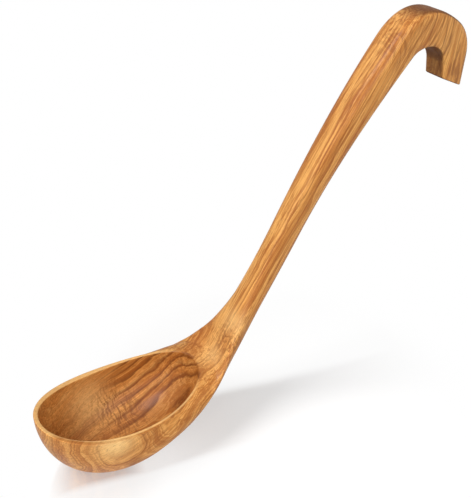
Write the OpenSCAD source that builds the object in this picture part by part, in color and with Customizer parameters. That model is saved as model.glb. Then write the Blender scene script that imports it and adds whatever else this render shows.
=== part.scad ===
// Soup ladle carved from one piece of hardwood, with a hook at the handle's end.
// X runs from the front of the bowl towards the hook, Z is up when the mouth of
// the bowl is level, and the two sides of the ladle are alike about Y = 0.
// The origin is under the middle of the ladle, level with the bowl's underside.

/* [Mouth and rim] */
// Length of the mouth, from the front of the rim to the root of the handle
mouth_l = 92; // [84:0.5:104]
// Width of the mouth over the rim
mouth_w = 52; // [47:0.5:60]
// How much the outside of the mouth narrows towards the handle, as a share
mouth_taper = 0.09; // [0.04:0.01:0.11]
// How much the cavity's edge narrows towards the handle, as a share
cavity_taper = -0.01; // [-0.03:0.01:0.05]
// Squareness of the cavity's edge: 2 is an ellipse, more is nearer to an oblong
cavity_square = 2.1; // [2:0.1:2.2]
// How far the rim dips half way along the mouth
rim_dip = 7.5; // [3:0.5:9]
// Thickness of the wood at the rim
rim_t = 2.4; // [2:0.1:4]
// Rounding along the two edges of the rim
rim_round = 0.8; // [0.4:0.1:0.9]
// Length of the smooth land between the cavity and the root of the handle
root_land = 4; // [3:0.5:9]

/* [Bowl] */
// Depth of the bowl outside, from the ends of the rim to the underside
bowl_depth = 41; // [34:0.5:46]
// How far the deepest place lies in front of the middle of the mouth
deepest_forward = 19; // [15:0.5:25]
// Thickness of the wood under the deepest place
floor_t = 4; // [3:0.5:7]
// Fullness of the bowl's sides a fifth of the way to the neck, as a share of the mouth
side_share = 1.05; // [1:0.01:1.08]
// The same at two fifths of the way
keel_share = 0.94; // [0.9:0.01:0.98]
// The same at three fifths of the way
heel_share = 0.73; // [0.68:0.01:0.8]
// The same at four fifths of the way
root_share = 0.46; // [0.42:0.01:0.54]

/* [Neck] */
// Distance of the neck's middle behind the middle of the mouth
neck_x = 74.5; // [68:0.5:80]
// Height of the neck's middle above the ends of the rim
neck_z = 28.5; // [22:0.5:34]
// Slope of the handle at the neck, in degrees above level
neck_slope = 59.5; // [50:0.5:66]
// Thickness of the neck, front to back
neck_t = 13.5; // [12:0.5:18]
// Width of the neck, side to side
neck_w = 15.5; // [13:0.5:19]
// How long the underside leaves the deepest place level
under_level = 34; // [28:0.5:40]
// How long the underside runs straight before the neck
under_straight = 59; // [50:0.5:64]
// How long the root's front leaves the mouth in line with the rim
front_level = 8.5; // [5:0.5:12]
// How long the root's front runs straight before the neck
front_straight = 39.5; // [32:0.5:44]

/* [Handle] */
// Length of the lower handle, from the neck to the waist
lower_l = 44; // [35:0.5:60]
// Bend of the lower handle towards the hook's side, in degrees
lower_bend = -4.5; // [-10:0.5:4]
// Thickness of the waist, front to back
waist_t = 16; // [12:0.5:18]
// Width of the waist, side to side
waist_w = 12.5; // [11:0.5:19]
// Length of the upper handle, from the waist to the hook
upper_l = 104.5; // [80:0.5:140]
// Bend of the upper handle towards the hook's side, in degrees
upper_bend = 11.5; // [0:0.5:14]
// Thickness of the handle where the hook begins
top_t = 17.5; // [15:0.5:21]
// Width of the handle where the hook begins
top_w = 17.5; // [15:0.5:22]

/* [Hook] */
// Length of the hook's first bend along its middle line
shoulder_l = 22.5; // [20:0.5:30]
// Angle of the first bend, in degrees
shoulder_bend = 66.5; // [60:0.5:80]
// Thickness of the hook in the first bend
shoulder_t = 18.5; // [16:0.5:21]
// Width of the hook in the first bend
shoulder_w = 16.5; // [14:0.5:20]
// Length of the nearly straight top of the hook
crown_l = 14.5; // [10:0.5:26]
// Angle of the hook's top, in degrees
crown_bend = 23.5; // [10:0.5:28]
// Thickness of the hook's top
crown_t = 17; // [15:0.5:20]
// Width of the hook's top
crown_w = 15.5; // [14:0.5:20]
// Length of the hook's second bend
curl_l = 13.5; // [10.5:0.5:20]
// Angle of the second bend, in degrees
curl_bend = 45.5; // [36:0.5:56]
// Thickness of the hook in the second bend
curl_t = 18.5; // [15:0.5:20]
// Width of the hook in the second bend
curl_w = 13.5; // [11:0.5:17]
// Length of the straight tip along its middle
tip_l = 12.5; // [10:0.5:16]
// Slope of the tip's sawn end away from square, in degrees, the outer side being the longer
tip_cut = 28; // [15:1:34]
// Thickness of the tip
tip_t = 16; // [14:0.5:19]
// Width of the tip
tip_w = 13; // [11:0.5:17]
// Rounding round the sawn end of the tip
tip_round = 0.8; // [0.4:0.1:1.5]

/* [Hidden] */

// Points round each section, and sections along each stretch of the ladle
around = 44;
cavity_steps = 14;
bowl_steps = 30;
bend_steps = 8;
tip_steps = 3;
handle_steps = 7;
// Squareness of the sections: 2 is an ellipse, more is nearer to a rounded oblong
front_square = [2, 2.35, 2.4, 2.7, 2.8, 4.2, 6, 6.5];
back_square = [2, 2, 2.1, 2.2, 2.4, 4.2, 7.5, 8];
// How much the root's front runs ahead of the underside where they leave the mouth
root_lead = 1.15;
// How quickly the narrowing of the mouth fades below the rim
taper_fade = 1.8;
// Share of a corner's size by which an arc's middle stays inside the corner
arc_in = 1 - sqrt(0.5);

mouth_front = [-mouth_l / 2, 0];
mouth_back = [mouth_l / 2, 0];
keel = [-deepest_forward, -bowl_depth];
neck_mid = [neck_x, neck_z];
neck_dir = [cos(neck_slope), sin(neck_slope)];
neck_front = neck_mid + neck_t / 2 * [-neck_dir[1], neck_dir[0]];
neck_back = neck_mid - neck_t / 2 * [-neck_dir[1], neck_dir[0]];
// Slope of the dipped rim where it meets the root
rim_slope = atan2(4 * rim_dip, mouth_l);

function mix(a, b, t) = a + (b - a) * t;
function power(v, n) = sign(v) * pow(abs(v), n);
function bezier(a, b, c, d, t) =
    pow(1 - t, 3) * a + 3 * pow(1 - t, 2) * t * b + 3 * (1 - t) * t * t * c + pow(t, 3) * d;

// Smooth curve through stations at xs with values ys, with no overshoot
function secant(xs, ys, i) = (ys[i + 1] - ys[i]) / (xs[i + 1] - xs[i]);
function blend_slope(h0, h1, d0, d1) =
    d0 * d1 <= 0 ? 0 : 3 * (h0 + h1) / ((2 * h1 + h0) / d0 + (h1 + 2 * h0) / d1);
function station_slope(xs, ys, i) =
    i == 0 ? secant(xs, ys, 0) :
    i == len(xs) - 1 ? secant(xs, ys, i - 1) :
    blend_slope(xs[i] - xs[i - 1], xs[i + 1] - xs[i], secant(xs, ys, i - 1), secant(xs, ys, i));
function hermite(y0, y1, m0, m1, t) =
    (1 + 2 * t) * pow(1 - t, 2) * y0 + t * pow(1 - t, 2) * m0
    + t * t * (3 - 2 * t) * y1 + t * t * (t - 1) * m1;
function smooth(xs, ys, x) =
    let (i = min(len(xs) - 2, max(0, len([for (v = xs) if (v <= x) 1]) - 1)))
    let (h = xs[i + 1] - xs[i])
    hermite(ys[i], ys[i + 1], h * station_slope(xs, ys, i), h * station_slope(xs, ys, i + 1),
        min(1, max(0, (x - xs[i]) / h)));

// Running totals of a list of steps
function running(steps, start) =
    [for (i = 0, s = start; i <= len(steps); s = s + (i < len(steps) ? steps[i] : 0 * start), i = i + 1) s];

// Underside of the bowl, from the front of the rim to the back of the neck
under_count = 60;
under_curve = concat(
    [for (k = [0 : under_count - 1]) let (a = 90 * k / under_count)
        [keel[0] + (mouth_front[0] - keel[0]) * cos(a), keel[1] * sin(a)]],
    [for (k = [0 : under_count])
        bezier(keel, keel + [under_level, 0], neck_back - under_straight * neck_dir, neck_back,
            k / under_count)]);
under_run = running([for (k = [1 : len(under_curve) - 1]) norm(under_curve[k] - under_curve[k - 1])], 0);
under_l = under_run[len(under_run) - 1];
function under_at(s) =
    let (i = min(len(under_run) - 2, max(0, len([for (v = under_run) if (v <= s) 1]) - 1)))
    mix(under_curve[i], under_curve[i + 1], (s - under_run[i]) / (under_run[i + 1] - under_run[i]));

// Front of the root, from the back of the mouth to the front of the neck
function root_front_at(t) =
    bezier(mouth_back, mouth_back + front_level * [cos(rim_slope), sin(rim_slope)],
        neck_front - front_straight * neck_dir, neck_front, 1 - pow(1 - t, root_lead));

// Middle line of the handle and hook: [length, bend, steps] for each stretch
stretches = [
    [lower_l, lower_bend, handle_steps],
    [upper_l, upper_bend, 2 * handle_steps],
    [shoulder_l, shoulder_bend, bend_steps],
    [crown_l, crown_bend, bend_steps / 2],
    [curl_l, curl_bend, bend_steps]];
walk = [for (g = stretches) for (k = [1 : g[2]]) [g[0] / g[2], g[1] / g[2]]];
slopes = running([for (w = walk) -w[1]], neck_slope);
runs = running([for (w = walk) w[0]], 0);
middles = running([for (k = [0 : len(walk) - 1]) let (a = slopes[k] - walk[k][1] / 2)
    walk[k][0] * [cos(a), sin(a)]], neck_mid);

// Stations along the ladle, counted from the neck, with the thickness and width at each
ends = running([lower_l, upper_l, shoulder_l, crown_l, curl_l, tip_l], 0);
handle_stations = [0, ends[1], ends[2], (ends[2] + ends[3]) / 2, (ends[3] + ends[4]) / 2,
    (ends[4] + ends[5]) / 2, ends[6]];
handle_t = [neck_t, waist_t, top_t, shoulder_t, crown_t, curl_t, tip_t];
handle_w = [neck_w, waist_w, top_w, shoulder_w, crown_w, curl_w, tip_w];
bowl_stations = [for (k = [5 : -1 : 1]) -under_l * k / 5];
bowl_w = mouth_w * [1, side_share, keel_share, heel_share, root_share];
square_stations = [-under_l, -0.8 * under_l, -under_l / 2, 0, ends[1], ends[2], ends[3], ends[6]];
function thickness_at(s) = smooth(handle_stations, handle_t, s);
function width_at(s) = smooth(concat(bowl_stations, handle_stations), concat(bowl_w, handle_w), s);

// One closed section between a front and a back point of the side view
function section(front, back, width, s, taper = 0, dip = 0) =
    let (nf = smooth(square_stations, front_square, s), nb = smooth(square_stations, back_square, s))
    [for (j = [0 : around - 1])
        let (a = 360 * j / around, n = cos(a) > 0 ? nf : nb)
        let (c = power(cos(a), 2 / n), w = width / 2 * power(sin(a), 2 / n))
        let (p = mix(back, front, (1 + c) / 2))
        [p[0], w * (1 - taper * c), p[1] - dip * (1 - c * c)]];

// Sections that fan out from the back of the mouth, round the bowl and up to the neck
function bowl_section(t) =
    section(root_front_at(t), under_at(t * under_l), width_at((t - 1) * under_l), (t - 1) * under_l,
        mouth_taper * pow(1 - t, taper_fade), rim_dip * pow(1 - min(1, 2 * t), 2));

// Sections square to the middle line of the handle and hook
function handle_section(mid, slope, s) =
    let (half = thickness_at(s) / 2 * [-sin(slope), cos(slope)])
    section(mid + half, mid - half, width_at(s), s);

// Sections of the straight tip, leaning over by share of the cut and drawn in by inset
last = len(walk);
tip_dir = [cos(slopes[last]), sin(slopes[last])];
tip_across = [-tip_dir[1], tip_dir[0]];
function tip_section(d, share, inset = 0) =
    let (s = ends[5] + d, t = thickness_at(s) / 2, lean = share * tan(tip_cut))
    let (half = (t - inset * cos(tip_cut)) * (tip_across + lean * tip_dir))
    let (mid = middles[last] + d * tip_dir)
    section(mid + half, mid - half, width_at(s) - 2 * inset, s);

// Edge of the cavity, and the cavity as that edge shrinking to its deepest point
cavity_front = mouth_front[0] + rim_t;
cavity_back = mouth_back[0] - root_land;
cavity_half_w = mouth_w / 2 - rim_t;
cavity_edge = [for (j = [0 : around - 1])
    let (a = 360 * j / around)
    let (c = power(cos(a), 2 / cavity_square), w = cavity_half_w * power(sin(a), 2 / cavity_square))
    let (x = mix(cavity_front, cavity_back, (1 + c) / 2))
    [x, w * (1 - cavity_taper * c), -rim_dip * (1 - pow(2 * x / mouth_l, 2))]];
cavity_depth = bowl_depth - floor_t;
cavity_floor = [keel[0], 0, -cavity_depth];
function cavity_section(a) = [for (p = cavity_edge)
    [mix(cavity_floor[0], p[0], cos(a)), p[1] * cos(a), p[2] * pow(cos(a), 2) - cavity_depth * sin(a)]];

// Rounding of an edge: b is the edge, a and c lie on either side of it
function rounded(a, b, c) = [for (j = [0 : around - 1]) b[j] + arc_in * (a[j] + c[j] - 2 * b[j])];
function stepped(from, to, d) = [for (j = [0 : around - 1])
    mix(from[j], to[j], d / norm(to[j] - from[j]))];

round_angle = asin(rim_round / cavity_depth);
cavity_sections = [for (k = [1 : cavity_steps]) cavity_section(mix(90, round_angle, k / cavity_steps))];
mouth_edge = bowl_section(0);
land_in = stepped(cavity_edge, mouth_edge, rim_round);
land_out = stepped(mouth_edge, cavity_edge, rim_round);
under_rim = bowl_section(rim_round / under_l);
rim_sections = [
    rounded(cavity_sections[cavity_steps - 1], cavity_edge, land_in),
    land_in,
    land_out,
    rounded(land_out, mouth_edge, under_rim),
    under_rim];
bowl_sections = [for (k = [1 : bowl_steps]) bowl_section(k / bowl_steps)];
handle_sections = [for (k = [1 : len(walk)]) handle_section(middles[k], slopes[k], runs[k])];
tip_straight = tip_l - tip_round;
tip_sections = concat(
    [for (k = [1 : tip_steps]) tip_section(tip_straight * k / tip_steps, k / tip_steps)],
    [for (a = [30, 60, 90]) tip_section(tip_straight + tip_round * sin(a), 1, tip_round * (1 - cos(a)))]);
sections = concat(cavity_sections, rim_sections, bowl_sections, handle_sections, tip_sections);

points = concat([cavity_floor], [for (s = sections) for (p = s) p]);
function at(k, j) = 1 + k * around + j % around;
faces = concat(
    [for (j = [0 : around - 1]) [0, at(0, j + 1), at(0, j)]],
    [for (k = [0 : len(sections) - 2]) for (j = [0 : around - 1])
        [at(k, j), at(k + 1, j + 1), at(k + 1, j)]],
    [for (k = [0 : len(sections) - 2]) for (j = [0 : around - 1])
        [at(k, j), at(k, j + 1), at(k + 1, j + 1)]],
    [[for (j = [0 : around - 1]) at(len(sections) - 1, j)]]);
hook_reach = max([for (p = points) p[0]]);
origin = [(mouth_front[0] + hook_reach) / 2, 0, -bowl_depth];

module ladle() color("peru") translate(-origin) polyhedron(points, faces, convexity = 6);

ladle();
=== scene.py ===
"""A soup ladle carved from one piece of hardwood, standing on a pale floor in soft light.

Lengths of the ladle and places in its wood are in millimetres, as a carver would give them,
and become metres where Blender gets them. X runs from the front of the bowl towards the
hook and Z is up.
"""
import math

import bpy
import numpy as np
from mathutils import Matrix, Vector


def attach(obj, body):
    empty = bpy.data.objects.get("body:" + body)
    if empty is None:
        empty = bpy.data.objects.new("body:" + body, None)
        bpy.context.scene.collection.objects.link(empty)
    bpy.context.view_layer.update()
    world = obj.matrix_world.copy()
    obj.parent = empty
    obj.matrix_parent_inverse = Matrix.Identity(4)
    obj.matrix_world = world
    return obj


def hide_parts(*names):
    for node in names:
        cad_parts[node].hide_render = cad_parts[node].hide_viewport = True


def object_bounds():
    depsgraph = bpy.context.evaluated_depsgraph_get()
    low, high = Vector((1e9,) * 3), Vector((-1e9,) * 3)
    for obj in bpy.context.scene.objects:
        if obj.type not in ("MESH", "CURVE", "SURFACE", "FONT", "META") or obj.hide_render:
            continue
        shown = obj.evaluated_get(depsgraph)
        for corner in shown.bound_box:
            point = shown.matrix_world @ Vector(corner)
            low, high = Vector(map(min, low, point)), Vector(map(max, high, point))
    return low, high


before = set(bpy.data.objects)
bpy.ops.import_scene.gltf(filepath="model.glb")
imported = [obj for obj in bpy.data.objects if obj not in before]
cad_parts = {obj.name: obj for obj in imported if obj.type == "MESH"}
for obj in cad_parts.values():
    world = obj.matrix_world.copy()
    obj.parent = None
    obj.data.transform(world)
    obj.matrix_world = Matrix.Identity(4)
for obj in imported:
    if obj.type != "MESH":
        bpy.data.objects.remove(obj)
cad_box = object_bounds()

MM = 0.001

# Mouth and rim
MOUTH_L = 92.0
MOUTH_W = 52.0
MOUTH_TAPER = 0.09
CAVITY_TAPER = -0.01
CAVITY_SQUARE = 2.1
RIM_DIP = 7.5
RIM_T = 2.4
RIM_ROUND = 0.8
ROOT_LAND = 4.0

# Bowl, with the width of its sections, as shares of the mouth's, at each fifth from rim to neck
BOWL_DEPTH = 41.0
DEEPEST_FORWARD = 19.0
FLOOR_T = 4.0
BOWL_SHARES = [1.0, 1.05, 0.94, 0.73, 0.46]

# Neck
NECK_MID = np.array([74.5, 28.5])
NECK_SLOPE = 59.5
NECK_T = 13.5
NECK_W = 15.5
UNDER_LEVEL = 34.0
UNDER_STRAIGHT = 59.0
FRONT_LEVEL = 8.5
FRONT_STRAIGHT = 39.5

# Stretches of the handle and hook: length and bend in degrees
LOWER = (44.0, -4.5)
UPPER = (104.5, 11.5)
SHOULDER = (22.5, 66.5)
CROWN = (14.5, 23.5)
CURL = (13.5, 45.5)
TIP_L = 12.5
TIP_CUT = 28.0
TIP_ROUND = 0.8

# Thickness and width at the neck, waist, top, shoulder, crown, curl and tip
HANDLE_T = [NECK_T, 16.0, 17.5, 18.5, 17.0, 18.5, 16.0]
HANDLE_W = [NECK_W, 12.5, 17.5, 16.5, 15.5, 13.5, 13.0]
# Squareness of the sections towards the front and the back of the side view
FRONT_SQUARE = [2.0, 2.35, 2.4, 2.7, 2.8, 4.2, 6.0, 6.5]
BACK_SQUARE = [2.0, 2.0, 2.1, 2.2, 2.4, 4.2, 7.5, 8.0]
# Lead of the root's front over the underside, and fading of the mouth's taper below the rim
ROOT_LEAD = 1.15
TAPER_FADE = 1.8

# Fineness of the mesh: points round a section, and sections along the cavity, the bowl, a
# rounded edge and, at the least, a stretch of the handle
AROUND = 144
CAVITY_STEPS = 44
BOWL_STEPS = 120
EDGE_STEPS = 6
STRETCH_STEPS = 8
# About how far the handle runs, in millimetres, or bends, in degrees, from section to section
HANDLE_STEP = 2.5
# Points along each half of the underside's curve
UNDER_STEPS = 160


def direction(angle):
    """Unit vector in the side view at an angle above level."""
    return np.array([math.cos(math.radians(angle)), math.sin(math.radians(angle))])


def across(along):
    """The direction square to another one, towards the front of the handle."""
    return np.array([-along[1], along[0]])


def power(value, exponent):
    return np.sign(value) * np.abs(value) ** exponent


def bezier(a, b, c, d, t):
    return (1 - t) ** 3 * a + 3 * (1 - t) ** 2 * t * b + 3 * (1 - t) * t * t * c + t ** 3 * d


def smooth(stations, values, at):
    """Curve through the stations with no overshoot between them."""
    x = np.array(stations, float)
    y = np.array(values, float)
    h = np.diff(x)
    d = np.diff(y) / h
    slope = np.zeros(len(x))
    slope[0] = d[0]
    slope[-1] = d[-1]
    for i in range(1, len(x) - 1):
        if d[i - 1] * d[i] > 0:
            weights = ((2 * h[i] + h[i - 1]) / d[i - 1] + (h[i] + 2 * h[i - 1]) / d[i])
            slope[i] = 3 * (h[i - 1] + h[i]) / weights
    i = min(len(h) - 1, max(0, int(np.searchsorted(x, at, side="right")) - 1))
    t = min(1.0, max(0.0, (at - x[i]) / h[i]))
    return ((1 + 2 * t) * (1 - t) ** 2 * y[i] + t * (1 - t) ** 2 * h[i] * slope[i]
            + t * t * (3 - 2 * t) * y[i + 1] + t * t * (t - 1) * h[i] * slope[i + 1])


def unit(vectors):
    return vectors / np.linalg.norm(vectors, axis=1)[:, None]


def rounded(before, edge, after):
    """Sections along the curve that takes a sharp edge off."""
    steps = np.linspace(0, 1, EDGE_STEPS)[1:-1]
    return [(1 - t) ** 2 * before + 2 * (1 - t) * t * edge + t * t * after for t in steps]


class Ladle:
    """Sections of the ladle, from the deepest point of the cavity to the end of the hook."""

    def __init__(self):
        self.front = np.array([-MOUTH_L / 2, 0.0])
        self.back = np.array([MOUTH_L / 2, 0.0])
        self.keel = np.array([-DEEPEST_FORWARD, -BOWL_DEPTH])
        self.neck_dir = direction(NECK_SLOPE)
        self.neck_half = NECK_T / 2 * across(self.neck_dir)
        angles = np.linspace(0, 2 * math.pi, AROUND, endpoint=False)
        self.cos = np.cos(angles)
        self.sin = np.sin(angles)
        self.trace_under()
        self.trace_handle()

    def trace_under(self):
        """Underside of the bowl, from the front of the rim to the back of the neck."""
        reach = self.front[0] - self.keel[0]
        quarter = np.linspace(0, math.pi / 2, UNDER_STEPS)[:-1]
        front = np.stack([self.keel[0] + reach * np.cos(quarter), self.keel[1] * np.sin(quarter)], axis=1)
        level = self.keel + np.array([UNDER_LEVEL, 0.0])
        neck_back = NECK_MID - self.neck_half
        straight = neck_back - UNDER_STRAIGHT * self.neck_dir
        shares = np.linspace(0, 1, UNDER_STEPS)
        back = np.array([bezier(self.keel, level, straight, neck_back, t) for t in shares])
        self.under = np.concatenate([front, back])
        steps = np.linalg.norm(np.diff(self.under, axis=0), axis=1)
        self.under_run = np.concatenate([[0.0], np.cumsum(steps)])
        self.under_l = self.under_run[-1]

    def under_at(self, run):
        x = np.interp(run, self.under_run, self.under[:, 0])
        z = np.interp(run, self.under_run, self.under[:, 1])
        return np.array([x, z])

    def root_front_at(self, t):
        """Front of the root, from the back of the mouth to the front of the neck."""
        rim_slope = math.degrees(math.atan2(4 * RIM_DIP, MOUTH_L))
        neck_front = NECK_MID + self.neck_half
        level = self.back + FRONT_LEVEL * direction(rim_slope)
        straight = neck_front - FRONT_STRAIGHT * self.neck_dir
        return bezier(self.back, level, straight, neck_front, 1 - (1 - t) ** ROOT_LEAD)

    def trace_handle(self):
        """Middle line of the handle and hook, and the stations along it."""
        self.middles = [NECK_MID]
        self.slopes = [NECK_SLOPE]
        self.runs = [0.0]
        ends = [0.0]
        for length, bend in (LOWER, UPPER, SHOULDER, CROWN, CURL):
            steps = max(STRETCH_STEPS, int(max(length, abs(bend)) / HANDLE_STEP))
            for _ in range(steps):
                slope = self.slopes[-1] - bend / steps / 2
                self.middles.append(self.middles[-1] + length / steps * direction(slope))
                self.slopes.append(self.slopes[-1] - bend / steps)
                self.runs.append(self.runs[-1] + length / steps)
            ends.append(ends[-1] + length)
        ends.append(ends[-1] + TIP_L)
        self.curl_end = ends[5]
        bend_mids = [(ends[k] + ends[k + 1]) / 2 for k in (2, 3, 4)]
        self.stations = [0.0, ends[1], ends[2]] + bend_mids + [ends[6]]
        self.squares = [-self.under_l, -0.8 * self.under_l, -self.under_l / 2, 0.0,
                        ends[1], ends[2], ends[3], ends[6]]
        fifths = len(BOWL_SHARES)
        bowl = [-self.under_l * k / fifths for k in range(fifths, 0, -1)]
        self.width_stations = bowl + self.stations
        self.widths = [MOUTH_W * share for share in BOWL_SHARES] + HANDLE_W

    def thickness(self, run):
        return smooth(self.stations, HANDLE_T, run)

    def width(self, run):
        return smooth(self.width_stations, self.widths, run)

    def section(self, front, back, width, run, taper=0.0, dip=0.0):
        """One closed section between a front and a back point of the side view."""
        to_front = 2 / smooth(self.squares, FRONT_SQUARE, run)
        to_back = 2 / smooth(self.squares, BACK_SQUARE, run)
        exponent = np.where(self.cos > 0, to_front, to_back)
        c = power(self.cos, exponent)
        y = width / 2 * power(self.sin, exponent) * (1 - taper * c)
        x = back[0] + (front[0] - back[0]) * (1 + c) / 2
        z = back[1] + (front[1] - back[1]) * (1 + c) / 2 - dip * (1 - c * c)
        return np.stack([x, y, z], axis=1)

    def bowl_section(self, t):
        """Sections that fan out from the back of the mouth, round the bowl and up to the neck."""
        run = (t - 1) * self.under_l
        taper = MOUTH_TAPER * (1 - t) ** TAPER_FADE
        dip = RIM_DIP * (1 - min(1.0, 2 * t)) ** 2
        return self.section(self.root_front_at(t), self.under_at(t * self.under_l), self.width(run),
                            run, taper, dip)

    def handle_section(self, k):
        """Sections square to the middle line of the handle and hook."""
        half = self.thickness(self.runs[k]) / 2 * across(direction(self.slopes[k]))
        mid = self.middles[k]
        return self.section(mid + half, mid - half, self.width(self.runs[k]), self.runs[k])

    def tip_section(self, distance, share, inset=0.0):
        """Sections of the straight tip, leaning over by a share of the cut."""
        along = direction(self.slopes[-1])
        run = self.curl_end + distance
        lean = share * math.tan(math.radians(TIP_CUT))
        half = self.thickness(run) / 2 - inset * math.cos(math.radians(TIP_CUT))
        half = half * (across(along) + lean * along)
        mid = self.middles[-1] + distance * along
        return self.section(mid + half, mid - half, self.width(run) - 2 * inset, run)

    def cavity_edge(self):
        front = self.front[0] + RIM_T
        back = self.back[0] - ROOT_LAND
        c = power(self.cos, 2 / CAVITY_SQUARE)
        x = front + (back - front) * (1 + c) / 2
        y = (MOUTH_W / 2 - RIM_T) * power(self.sin, 2 / CAVITY_SQUARE) * (1 - CAVITY_TAPER * c)
        z = -RIM_DIP * (1 - (2 * x / MOUTH_L) ** 2)
        return np.stack([x, y, z], axis=1)

    def cavity_section(self, angle):
        """The cavity's edge shrinking towards its deepest point."""
        depth = BOWL_DEPTH - FLOOR_T
        edge = self.cavity_edge()
        shrink = math.cos(angle)
        x = self.keel[0] + (edge[:, 0] - self.keel[0]) * shrink
        z = edge[:, 2] * shrink ** 2 - depth * math.sin(angle)
        return np.stack([x, edge[:, 1] * shrink, z], axis=1)

    def rim(self, cavity_top):
        """The rim, with its inner and outer edges rounded."""
        inner = self.cavity_edge()
        outer = self.bowl_section(0.0)
        under = self.bowl_section(RIM_ROUND / self.under_l)
        land_in = inner + RIM_ROUND * unit(outer - inner)
        land_out = outer + RIM_ROUND * unit(inner - outer)
        land = [land_in, (land_in + land_out) / 2, land_out]
        return rounded(cavity_top, inner, land_in) + land + rounded(land_out, outer, under) + [under]

    def tip(self):
        """The straight tip and the rounding round its sawn end."""
        straight = TIP_L - TIP_ROUND
        shares = [k / EDGE_STEPS for k in range(1, EDGE_STEPS + 1)]
        sections = [self.tip_section(straight * share, share) for share in shares]
        for a in np.linspace(0, math.pi / 2, EDGE_STEPS)[1:]:
            inset = TIP_ROUND * (1 - math.cos(a))
            sections.append(self.tip_section(straight + TIP_ROUND * math.sin(a), 1.0, inset))
        return sections

    def sections(self):
        start = math.asin(RIM_ROUND / (BOWL_DEPTH - FLOOR_T))
        angles = np.linspace(math.pi / 2, start, CAVITY_STEPS + 1)[1:]
        cavity = [self.cavity_section(a) for a in angles]
        bowl = [self.bowl_section(k / BOWL_STEPS) for k in range(1, BOWL_STEPS + 1)]
        handle = [self.handle_section(k) for k in range(1, len(self.runs))]
        return cavity + self.rim(cavity[-1]) + bowl + handle + self.tip()


def ladle_mesh():
    """The whole ladle as one closed skin, placed where the frame has it."""
    ladle = Ladle()
    sections = ladle.sections()
    floor_point = np.array([[ladle.keel[0], 0.0, FLOOR_T - BOWL_DEPTH]])
    points = np.concatenate([floor_point] + sections)
    points[:, 0] -= (points[:, 0].min() + points[:, 0].max()) / 2
    points[:, 2] += BOWL_DEPTH
    last = 1 + (len(sections) - 1) * AROUND
    end_mid = points[last:].mean(axis=0)
    points = np.concatenate([points, [end_mid]])
    faces = []
    for j in range(AROUND):
        after = (j + 1) % AROUND
        faces.append((0, 1 + after, 1 + j))
        faces.append((len(points) - 1, last + j, last + after))
        for k in range(len(sections) - 1):
            a = 1 + k * AROUND
            faces.append((a + j, a + after, a + AROUND + after, a + AROUND + j))
    mesh = bpy.data.meshes.new("ladle_wood")
    mesh.from_pydata((points * MM).tolist(), [], faces)
    mesh.validate()
    mesh.shade_smooth()
    return mesh


def mm(*values):
    """Millimetres as metres."""
    return tuple(value * MM for value in values)


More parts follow.
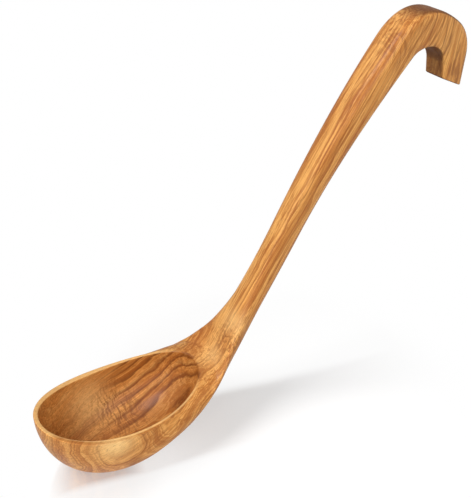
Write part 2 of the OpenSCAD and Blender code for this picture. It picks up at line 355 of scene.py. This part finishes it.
class Nodes:
    """Adds nodes to one node tree and links them, so that a material reads like a sum."""

    def __init__(self, tree):
        self.tree = tree
        tree.nodes.clear()

    def new(self, kind, inputs=(), **settings):
        node = self.tree.nodes.new(kind)
        for name, value in settings.items():
            setattr(node, name, value)
        for name, value in dict(inputs).items():
            self.put(node.inputs[name], value)
        return node

    def put(self, socket, value):
        if isinstance(value, bpy.types.NodeSocket):
            self.tree.links.new(value, socket)
        else:
            socket.default_value = value

    def math(self, operation, a, b=0.0, clamp=False):
        node = self.new("ShaderNodeMath", operation=operation, use_clamp=clamp)
        self.put(node.inputs[0], a)
        self.put(node.inputs[1], b)
        return node.outputs[0]

    def times(self, a, b, clamp=False):
        return self.math("MULTIPLY", a, b, clamp)

    def plus(self, a, b, factor=1.0):
        """One value with another added, by a factor where one is given."""
        return self.math("ADD", a, b if factor == 1.0 else self.times(b, factor))

    def vector(self, operation, a, b=(0.0, 0.0, 0.0)):
        node = self.new("ShaderNodeVectorMath", operation=operation)
        self.put(node.inputs[0], a)
        self.put(node.inputs[1], b)
        one_number = operation in ("LENGTH", "DISTANCE", "DOT_PRODUCT")
        return node.outputs["Value" if one_number else "Vector"]

    def scaled(self, vector, factor):
        node = self.new("ShaderNodeVectorMath", {"Scale": factor}, operation="SCALE")
        self.put(node.inputs[0], vector)
        return node.outputs["Vector"]

    def turned(self, vector, slope):
        """A place in axes whose X climbs at a slope in degrees."""
        rotation = (0.0, math.radians(slope), 0.0)
        return self.new("ShaderNodeMapping", {"Vector": vector, "Rotation": rotation}).outputs[0]

    def parts(self, vector):
        """The X, Y and Z of a vector."""
        node = self.new("ShaderNodeSeparateXYZ")
        self.put(node.inputs[0], vector)
        return node.outputs

    def noise(self, where, detail, roughness, output="Fac"):
        inputs = {"Vector": where, "Scale": 1.0, "Detail": detail, "Roughness": roughness}
        return self.new("ShaderNodeTexNoise", inputs).outputs[output]

    def noise_1d(self, where, detail, roughness):
        node = self.new("ShaderNodeTexNoise", noise_dimensions="1D")
        for name, value in (("W", where), ("Scale", 1.0), ("Detail", detail), ("Roughness", roughness)):
            self.put(node.inputs[name], value)
        return node.outputs["Fac"]

    def step(self, value, limits, shares=(0.0, 1.0)):
        """A smooth change from one share to the other while a value goes between two limits."""
        inputs = {"Value": value, "From Min": limits[0], "From Max": limits[1],
                  "To Min": shares[0], "To Max": shares[1]}
        return self.new("ShaderNodeMapRange", inputs, interpolation_type="SMOOTHSTEP").outputs[0]

    def between(self, share, at_none, at_full):
        """One number where a share is 0, another where it is 1, and a smooth change between."""
        return self.step(share, (0.0, 1.0), (at_none, at_full))

    def mix(self, share, a, b):
        node = self.new("ShaderNodeMix", data_type="RGBA")
        for name, value in (("Factor", share), ("A", a), ("B", b)):
            self.put(node.inputs[name], value)
        return node.outputs["Result"]

    def ramp(self, value, stops):
        node = self.new("ShaderNodeValToRGB", {"Fac": value})
        elements = node.color_ramp.elements
        while len(elements) < len(stops):
            elements.new(0.5)
        for element, (place, color) in zip(elements, stops):
            element.position = place
            element.color = color
        return node.outputs["Color"]

    def mix_shaders(self, share, a, b):
        node = self.new("ShaderNodeMixShader", {"Fac": share})
        self.put(node.inputs[1], a)
        self.put(node.inputs[2], b)
        return node.outputs[0]

    def seen(self):
        """1 for what the camera sees, straight, mirrored or through glass, and 0 for other light."""
        path = self.new("ShaderNodeLightPath").outputs
        seen = self.math("MAXIMUM", path["Is Camera Ray"], path["Is Glossy Ray"])
        return self.math("MAXIMUM", seen, path["Is Transmission Ray"])


def srgb(red, green, blue):
    """A colour as a picture shows it, from 0 to 255, turned into the light's own scale."""
    shares = [value / 255 for value in (red, green, blue)]
    return tuple(v / 12.92 if v <= 0.04045 else ((v + 0.055) / 1.055) ** 2.4 for v in shares) + (1.0,)


WHITE = (1.0, 1.0, 1.0, 1.0)

# Colours of the wood
PALE = srgb(234, 172, 95)
MIDDLE = srgb(209, 140, 68)
DEEP = srgb(156, 88, 33)
LINE = srgb(112, 58, 20)
END_GRAIN = srgb(96, 53, 22)
PORE = srgb(100, 54, 20)
# Colour of the painted highlights, on the rim and in a few small places
HIGHLIGHT_TINT = srgb(250, 204, 134)

# The fibres run up the handle, lie flatter in the bowl and stand steeper in the hook, turning
# about a point in the root and another in the hook; a shift brings the whole figure to where
# it shows, and the growth rings lie round a pith line
HANDLE_FIBRES = 60.0
BOWL_FIBRES = 24.0
HOOK_FIBRES = 90.0
ROOT_TURN = (-28.0, 0.0, 31.0)
HOOK_TURN = (95.0, 0.0, 195.0)
FIGURE_SHIFT = (-35.2, 0.0, -50.6)
PITH = (58.0, 49.0)
RING_WIDTH = 1.9
# How many broad bands and how many fine lines there are to a ring
BANDS = 0.37
LINES = 3.1

# Features of the wood: length along the grain, width across it, and the detail and roughness
# of their noise
WAVES = (80.0, 26.0, 2.0, 0.45)
RIPPLES = (15.0, 5.0, 2.0, 0.55)
BLOTCHES = (60.0, 14.0, 3.0, 0.55)
STREAKS = (90.0, 1.3, 3.0, 0.65)
SOFT_LINES = (16.0, 2.6, 1.0, 0.5)
FIBRES = (16.0, 0.6, 4.0, 0.62)
PORES = (3.4, 0.36, 1.0, 0.5)
# How far the waves and the ripples move the rings, on the handle and in the bowl
WAVE_SWAY = (15.0, 22.0)
RIPPLE_SWAY = (1.2, 3.4)
# How far the ripples move the soft lines and the torn strokes
SOFT_SWAY = 5.0
STROKE_SWAY = 4.0
# The strokes run round the bowl: their width, their number in each radian and their depth
STROKE_WIDTH = 1.0
STROKES_ROUND = 6.5
STROKE_DEPTH = 9.0

# Stretches of X over which the wood changes: from the root into the cavity, from the handle
# into the hook, and where the bands, the soft lines and the end grain change their strength
INTO_CAVITY = (-32.5, -35.5)
INTO_HOOK = (78.0, 108.0)
CAVITY_BANDS = (-85.0, -60.0)
OUTSIDE_BANDS = (-60.0, -40.0)
SOFT_LINES_GROW = (70.0, 90.0)
END_GRAIN_GROWS = (40.0, 80.0)
# The slope of the root, and the stretch down along it from the handle's wood to the bowl's
ROOT_SLOPE = 45.0
INTO_BOWL = (28.0, -24.0)
# A point in the hollow of the bowl, and how far a face's plane lies behind it, counted below 0,
# where the wood starts to be the cavity's and where it is so in full
HOLLOW_MID = (-80.0, 0.0, 33.0)
BEHIND_HOLLOW = (0.0, -12.0)
# The rim's painted highlight, from none to all of it: how far below the rim's curve, and how far
# from the mouth's middle towards the root, as a share of half the mouth's length
RIM_BELOW = (0.35, 0.05)
RIM_ALONG = (0.86, 0.6)
# The painted shade on the outer half of its near side: how far out, squared, and how far aside,
# as shares of half the mouth
RIM_OUT = (0.90, 0.97)
RIM_ASIDE = (-0.25, -0.65)
# The back of the cavity, painted darker round a point: centre and radius
DARKER = ((-42.0, 0.0, 24.0), 20.0)
# Places round which the rings close on themselves: centre, radius and strength
SWIRLS = [
    ((-94.0, -24.0, 31.0), 12.0, 13.0),
    ((-62.0, -22.0, 22.0), 11.0, -8.0),
    ((-106.0, -14.0, 16.0), 10.0, -7.0),
    ((-40.0, 4.0, 26.0), 12.0, 6.0),
    ((-92.0, 10.0, 12.0), 16.0, 9.0),
    ((88.0, -8.0, 188.0), 12.0, 5.0),
]
# Painted highlights, places painted paler where light catches the wood: centre, radius and strength
PAINTED_HIGHLIGHTS = [
    ((-93.0, -26.0, 33.0), 6.0, 1.0),
    ((-89.0, 19.0, 17.0), 8.5, 0.6),
    ((-26.0, -5.0, 43.0), 4.5, 0.4),
    ((-14.0, -5.0, 61.0), 5.0, 0.5),
]
# Places where the cut has torn the fibres a little: centre and radius
FLECKS = [
    ((-40.0, 9.0, 30.0), 9.0),
    ((-76.0, 18.0, 14.0), 8.0),
    ((-73.0, 7.0, 7.0), 9.0),
    ((-20.0, -7.0, 54.0), 7.0),
    ((69.0, -8.0, 199.0), 8.0),
]


class Wood:
    """Oiled hardwood with growth rings, fibres, pores and a satin sheen, as one node tree.

    Each method adds its nodes and keeps what later ones need; self.color is the colour so far.
    """

    def __init__(self, n):
        self.n = n
        coords = n.new("ShaderNodeTexCoord").outputs
        self.place = coords["Object"]
        self.normal = coords["Normal"]
        self.x, self.y, self.z = n.parts(self.place)
        self.find_parts()
        self.lay_grain()
        self.grow_rings()
        self.color_rings()
        self.draw_streaks()
        self.draw_fibres()
        self.tear_fibres()
        self.darken_end_grain()
        self.paint_rim_light_and_shade()

    def by_x(self, places, shares=(0.0, 1.0)):
        """A smooth change from one share to the other between two places along X."""
        return self.n.step(self.x, mm(*places), shares)

    def near(self, centre, radius):
        """1 at a place, falling to almost 0 at three times the radius."""
        share = self.n.math("DIVIDE", self.n.vector("DISTANCE", self.place, mm(*centre)), radius * MM)
        return self.n.math("POWER", math.exp(-0.5), self.n.times(share, share))

    def reach(self, vector, slope):
        """How far a vector reaches in the direction that climbs at a slope in degrees."""
        along, up = direction(slope)
        return self.n.vector("DOT_PRODUCT", vector, (along, 0.0, up))

    def figure(self, feature, output="Fac", where=None):
        """Noise that lies along the grain, or along a place that sways in the grain's axes."""
        length, width, detail, roughness = feature
        stretch = tuple(1 / size for size in mm(length, width, width))
        where = self.grain if where is None else where
        return self.n.noise(self.n.vector("MULTIPLY", where, stretch), detail, roughness, output)

    def sway(self, feature):
        """Noise that moves a place to and fro, by up to half of the length it is scaled to."""
        return self.n.vector("SUBTRACT", self.figure(feature, "Color"), (0.5, 0.5, 0.5))

    def paint(self, share, color):
        self.color = self.n.mix(share, self.color, color)

    def find_parts(self):
        """How far a place belongs to the cavity, to the bowl as a whole and to the hook."""
        n = self.n
        from_mid = n.vector("SUBTRACT", self.place, mm(*HOLLOW_MID))
        behind = n.vector("DOT_PRODUCT", self.normal, from_mid)
        self.in_cavity = n.times(n.step(behind, mm(*BEHIND_HOLLOW)), self.by_x(INTO_CAVITY))
        down_the_root = n.step(self.reach(self.place, ROOT_SLOPE), mm(*INTO_BOWL))
        self.in_bowl = n.math("MAXIMUM", down_the_root, self.in_cavity)
        self.in_hook = self.by_x(INTO_HOOK)

    def turn(self, centre, slope, share):
        """What the grain changes by where a share of it climbs at another slope."""
        n = self.n
        from_centre = n.vector("SUBTRACT", self.place, mm(*centre))
        bend = n.vector("SUBTRACT", n.turned(from_centre, slope), n.turned(from_centre, HANDLE_FIBRES))
        return n.scaled(bend, share)

    def lay_grain(self):
        """A place in the grain's own axes, of which X runs along the fibres."""
        n = self.n
        grain = n.vector("ADD", n.turned(self.place, HANDLE_FIBRES), mm(*FIGURE_SHIFT))
        grain = n.vector("ADD", grain, self.turn(ROOT_TURN, BOWL_FIBRES, self.in_bowl))
        self.grain = n.vector("ADD", grain, self.turn(HOOK_TURN, HOOK_FIBRES, self.in_hook))

    def grow_rings(self):
        """Distance from the pith, in rings, with the slow waves that a trunk has."""
        n = self.n
        self.ripple = self.sway(RIPPLES)
        moved = self.grain
        for sway, lengths in ((self.sway(WAVES), WAVE_SWAY), (self.ripple, RIPPLE_SWAY)):
            length = n.between(self.in_bowl, *mm(*lengths))
            moved = n.vector("ADD", moved, n.scaled(sway, length))
        from_pith = n.vector("SUBTRACT", moved, mm(0.0, *PITH))
        rings = n.vector("LENGTH", n.vector("MULTIPLY", from_pith, (0.0, 1.0, 1.0)))
        rings = n.math("DIVIDE", rings, RING_WIDTH * MM)
        for centre, radius, strength in SWIRLS:
            rings = n.plus(rings, self.near(centre, radius), strength / RING_WIDTH)
        self.rings = rings

    def late_wood(self):
        """Each year's growth darkens towards its end, some years more than others."""
        n = self.n
        year = n.math("FRACT", self.rings)
        rise = n.math("POWER", year, 2.2)
        late = n.times(rise, n.step(year, (1.0, 0.90)))
        weight = n.new("ShaderNodeTexWhiteNoise", noise_dimensions="1D")
        n.put(weight.inputs["W"], n.math("FLOOR", self.rings))
        return n.times(late, n.between(weight.outputs["Value"], 0.25, 1.25))

    def bold_bands(self):
        """Bands a few rings apart that come in slowly and end at once."""
        n = self.n
        band = n.math("FRACT", n.times(self.rings, BANDS))
        bold = n.times(n.step(band, (0.40, 0.84)), n.step(band, (1.0, 0.90)))
        inside = n.times(self.in_cavity, self.by_x(CAVITY_BANDS, (0.25, 0.9)))
        outside = n.times(n.between(self.in_cavity, 1.0, 0.0), self.by_x(OUTSIDE_BANDS, (0.38, 0.2)))
        return n.times(bold, n.plus(inside, outside))

    def color_rings(self):
        """Tones of the rings, with broad changes, fine lines, blotches and dark late wood."""
        n = self.n
        broad = n.noise_1d(n.times(self.rings, BANDS), 2.0, 0.6)
        fine = n.noise_1d(n.times(self.rings, LINES), 3.0, 0.6)
        self.blotch = self.figure(BLOTCHES)
        tone = n.between(self.in_bowl, 0.78, 0.58)
        for changes, strength in ((broad, 1.5), (fine, 1.3), (self.blotch, 1.3)):
            tone = n.plus(tone, n.math("SUBTRACT", changes, 0.5), strength)
        self.color = n.ramp(tone, [(0.0, DEEP), (0.5, MIDDLE), (1.0, PALE)])
        darker = n.times(self.in_cavity, self.near(*DARKER))
        self.paint(n.times(darker, 0.5), DEEP)
        self.paint(self.bold_bands(), n.mix(self.in_cavity, DEEP, LINE))
        self.late = self.late_wood()
        self.paint(n.times(self.late, n.between(self.in_cavity, 0.66, 0.3), clamp=True), LINE)

    def draw_streaks(self):
        """Long dark and pale streaks, painted highlights, and softer and broader lines in the hook."""
        n = self.n
        streak = self.figure(STREAKS)
        strength = n.times(n.between(self.in_bowl, 1.0, 0.6), n.between(self.in_hook, 1.0, 0.4))
        self.paint(n.times(n.step(streak, (0.46, 0.64), (0.0, 0.85)), strength), DEEP)
        self.paint(n.times(n.step(streak, (0.46, 0.30), (0.0, 0.45)), strength), PALE)
        # Painted highlights on the outside of the bowl, in the cavity and along the root's ridge
        for centre, radius, highlight_share in PAINTED_HIGHLIGHTS:
            self.paint(n.times(self.near(centre, radius), highlight_share), HIGHLIGHT_TINT)
        swayed = n.vector("ADD", self.grain, n.scaled(self.ripple, SOFT_SWAY * MM))
        soft = self.figure(SOFT_LINES, where=swayed)
        self.paint(n.times(n.step(soft, (0.51, 0.66)), self.by_x(SOFT_LINES_GROW, (0.0, 0.55))), LINE)

    def draw_fibres(self):
        """Fine fibres and open pores along the grain."""
        n = self.n
        self.fibre = self.figure(FIBRES)
        self.paint(n.step(self.fibre, (0.40, 0.76), (0.0, 0.4)), DEEP)
        self.pores = n.step(self.figure(PORES), (0.60, 0.72))
        self.paint(n.times(self.pores, 0.35), PORE)

    def tear_fibres(self):
        """Short dark strokes round the bowl where the cut has torn the fibres."""
        n = self.n
        torn = 0.0
        for centre, radius in FLECKS:
            torn = n.plus(torn, self.near(centre, radius))
        x, y, z = n.parts(n.vector("ADD", self.place, n.scaled(self.ripple, STROKE_SWAY * MM)))
        above_mouth = n.math("SUBTRACT", z, BOWL_DEPTH * MM)
        way_round = n.math("ARCTAN2", y, n.times(above_mouth, -1.0))
        scratch = n.new("ShaderNodeCombineXYZ", {
            "X": n.math("DIVIDE", x, STROKE_WIDTH * MM),
            "Y": n.times(way_round, STROKES_ROUND),
            "Z": n.math("DIVIDE", above_mouth, STROKE_DEPTH * MM)})
        strokes = n.step(n.noise(scratch.outputs[0], 1.5, 0.5), (0.47, 0.60))
        self.torn = n.times(torn, strokes)
        self.paint(n.times(self.torn, 0.45, clamp=True), LINE)

    def darken_end_grain(self):
        """Wood cut across its fibres takes up more oil and looks darker, most of all in the hook."""
        n = self.n
        facing = self.reach(self.normal, HANDLE_FIBRES)
        facing = n.math("MAXIMUM", facing, n.times(facing, -0.9))
        self.end_grain = n.times(n.step(facing, (0.44, 0.80)), self.by_x(END_GRAIN_GROWS, (0.05, 0.87)))
        self.paint(self.end_grain, END_GRAIN)

    def paint_rim_light_and_shade(self):
        """A painted highlight makes the rim pale, and painted shade makes the outer half of its near side
        darker.
        """
        n = self.n
        mouth_mid = float(cad_box[0][0]) + MOUTH_L / 2 * MM
        along = n.math("DIVIDE", n.math("SUBTRACT", self.x, mouth_mid), MOUTH_L / 2 * MM)
        aside = n.math("DIVIDE", self.y, MOUTH_W / 2 * MM)
        dip = n.times(n.math("SUBTRACT", 1.0, n.times(along, along)), RIM_DIP * MM)
        below = n.math("SUBTRACT", BOWL_DEPTH * MM, n.plus(dip, self.z))
        on_rim = n.times(n.step(below, mm(*RIM_BELOW)), n.step(along, RIM_ALONG))
        out = n.plus(n.times(along, along), n.times(aside, aside))
        outer = n.times(n.step(out, RIM_OUT), n.step(aside, RIM_ASIDE))
        # Painted highlight along the rim, then painted shade on the outer half of its near side
        self.paint(n.times(on_rim, n.between(outer, 0.5, 0.0)), HIGHLIGHT_TINT)
        self.paint(n.times(on_rim, n.between(outer, 0.0, 0.35)), DEEP)

    def roughness(self):
        """Satin, a little duller over the dark lines and dull on the end grain."""
        rough = self.n.step(self.blotch, (0.3, 0.7), (0.44, 0.54))
        rough = self.n.plus(rough, self.late, 0.06)
        return self.n.plus(rough, self.end_grain, 0.4)

    def relief(self):
        """Raised fibres, and dents at the pores, the torn places and the late wood."""
        height = self.n.times(self.fibre, 0.5)
        for dent, depth in ((self.pores, 0.8), (self.torn, 0.8), (self.late, 0.3)):
            height = self.n.plus(height, dent, -depth)
        return self.n.new("ShaderNodeBump", {"Height": height, "Strength": 0.25, "Distance": 0.25 * MM})

    def shader(self):
        inputs = {"Base Color": self.color, "Roughness": self.roughness(), "IOR": 1.46,
                  "Normal": self.relief().outputs[0], "Specular IOR Level": 0.2,
                  "Coat Weight": 0.12, "Coat Roughness": 0.2}
        return self.n.new("ShaderNodeBsdfPrincipled", inputs).outputs[0]


def link(name, data):
    piece = bpy.data.objects.new(name, data)
    bpy.context.collection.objects.link(piece)
    return piece


def new_material(name):
    """An empty material, and what adds nodes to it."""
    material = bpy.data.materials.new(name)
    material.use_nodes = True
    return material, Nodes(material.node_tree)


def wood_material():
    material, n = new_material("oiled_wood")
    n.new("ShaderNodeOutputMaterial", {"Surface": Wood(n).shader()})
    return material


def make_ladle():
    ladle = link("carved_ladle", ladle_mesh())
    ladle.data.materials.append(wood_material())
    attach(ladle, "root")
    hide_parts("ladle")


# Half the width of the floor, in metres
FLOOR_HALF = 3.0
# Places on the floor in millimetres: nearly under the bowl, and the middle of the shadow
UNDER_BOWL = (-97.0, -12.0, 0.0)
SHADOW_MID = (10.0, -20.0, 0.0)
# The direction across the strip of floor that the handle's shadow lies in
ACROSS_STRIP = (0.23, 1.0, 0.0)
# Distances in millimetres over which the floor changes: its shine and its shade round the bowl,
# its shade round the middle of the shadow, and the near and the far edge of the strip
SHINE_FADE = (38.0, 12.0)
BOWL_SHADE = (8.0, 38.0)
SHADOW_SHADE = (30.0, 130.0)
STRIP_NEAR = (-34.0, -44.0)
STRIP_FAR = (-6.0, 6.0)
# Share of the light that the floor throws back on the ladle, and share and roughness of its shine
FLOOR_BOUNCE = 0.44
SHINE = 0.65
SHINE_ROUGHNESS = 0.13
# Strength of the even light from all round
WORLD_LIGHT = 0.28


def white_share(n, place, from_bowl):
    """How far the floor is plain white: less near the bowl and in the strip of the shadow."""
    from_shadow = n.vector("DISTANCE", place, mm(*SHADOW_MID))
    round_shadow = n.step(from_shadow, mm(*SHADOW_SHADE), (0.2, 1.0))
    round_bowl = n.step(from_bowl, mm(*BOWL_SHADE), (0.3, 1.0))
    aside = n.vector("DOT_PRODUCT", place, ACROSS_STRIP)
    near_side = n.step(aside, mm(*STRIP_NEAR), (0.0, 0.8))
    far_side = n.step(aside, mm(*STRIP_FAR), (0.0, 0.8))
    return n.math("MAXIMUM", n.math("MINIMUM", round_shadow, round_bowl),
                  n.math("MAXIMUM", near_side, far_side))


def floor_material():
    """Matte and pale, with a faint mirror of the bowl, and plain white away from the ladle."""
    material, n = new_material("pale_floor")
    seen = n.seen()
    place = n.new("ShaderNodeTexCoord").outputs["Object"]
    from_bowl = n.vector("DISTANCE", place, mm(*UNDER_BOWL))
    matte = n.new("ShaderNodeBsdfDiffuse", {"Color": n.between(seen, FLOOR_BOUNCE, 1.0)}).outputs[0]
    shine = n.new("ShaderNodeBsdfGlossy", {"Color": WHITE, "Roughness": SHINE_ROUGHNESS}).outputs[0]
    white = n.new("ShaderNodeEmission", {"Color": WHITE, "Strength": 1.0}).outputs[0]
    polished = n.mix_shaders(n.step(from_bowl, mm(*SHINE_FADE), (0.0, SHINE)), matte, shine)
    plain = n.times(seen, white_share(n, place, from_bowl))
    n.new("ShaderNodeOutputMaterial", {"Surface": n.mix_shaders(plain, polished, white)})
    return material


def make_floor():
    mesh = bpy.data.meshes.new("floor")
    corners = [(-FLOOR_HALF, -FLOOR_HALF, 0.0), (FLOOR_HALF, -FLOOR_HALF, 0.0),
               (FLOOR_HALF, FLOOR_HALF, 0.0), (-FLOOR_HALF, FLOOR_HALF, 0.0)]
    mesh.from_pydata(corners, [], [(0, 1, 2, 3)])
    mesh.materials.append(floor_material())
    floor = link("floor", mesh)


def make_world():
    """Soft even light from all round, and white where it is seen."""
    world = bpy.data.worlds.new("studio")
    bpy.context.scene.world = world
    world.use_nodes = True
    n = Nodes(world.node_tree)
    soft = n.new("ShaderNodeBackground", {"Color": WHITE, "Strength": WORLD_LIGHT}).outputs[0]
    white = n.new("ShaderNodeBackground", {"Color": WHITE, "Strength": 1.0}).outputs[0]
    n.new("ShaderNodeOutputWorld", {"Surface": n.mix_shaders(n.seen(), soft, white)})


# Lamps: azimuth and height in degrees, size in metres and power in watts
LAMPS = {
    "key": (164.0, 53.0, 0.5, 7.2),
    "fill": (260.0, 34.0, 0.9, 7.4),
    "low": (215.0, 16.0, 0.7, 2.8),
}
# Where the lamps look, and how far from there they hang, in metres
LAMP_TARGET = Vector((0.0, 0.0, 0.1))
LAMP_DISTANCE = 1.1


def make_lamp(name, azimuth, height, size, power):
    """A round soft lamp that looks at the ladle."""
    data = bpy.data.lights.new(name, "AREA")
    data.shape = "DISK"
    data.size = size
    data.energy = power
    lamp = link(name, data)
    around = math.radians(azimuth)
    rise = math.radians(height)
    aim = -Vector((math.cos(around) * math.cos(rise), math.sin(around) * math.cos(rise), math.sin(rise)))
    lamp.location = LAMP_TARGET - LAMP_DISTANCE * aim
    lamp.rotation_euler = aim.to_track_quat("-Z", "Y").to_euler()


# The camera of the photograph's view: its place in metres, how far it is turned, tipped down
# and rolled, in degrees, and its lens and sensor in millimetres
CAMERA_PLACE = Vector((-0.17754, -0.22880, 0.29727))
CAMERA_TURN = -35.69
CAMERA_TIP = 34.29
CAMERA_ROLL = 4.15
LENS = 52.16
SENSOR = 36.0


def make_camera():
    turn = math.radians(CAMERA_TURN)
    tip = math.radians(CAMERA_TIP)
    roll = math.radians(CAMERA_ROLL)
    back = Vector((math.sin(turn) * math.cos(tip), -math.cos(turn) * math.cos(tip), math.sin(tip)))
    level = Vector((math.cos(turn), math.sin(turn), 0.0))
    right = level * math.cos(roll) + back.cross(level) * math.sin(roll)
    up = back.cross(right)
    data = bpy.data.cameras.new("camera")
    data.sensor_fit = "HORIZONTAL"
    data.sensor_width = SENSOR
    data.lens = LENS
    camera = link("camera", data)
    turned = Matrix((right, up, back)).transposed().to_4x4()
    camera.matrix_world = Matrix.Translation(CAMERA_PLACE) @ turned
    bpy.context.scene.camera = camera


make_ladle()
make_floor()
make_world()
for name, settings in LAMPS.items():
    make_lamp(name, *settings)
make_camera()
bpy.context.scene.view_settings.view_transform = "Standard"
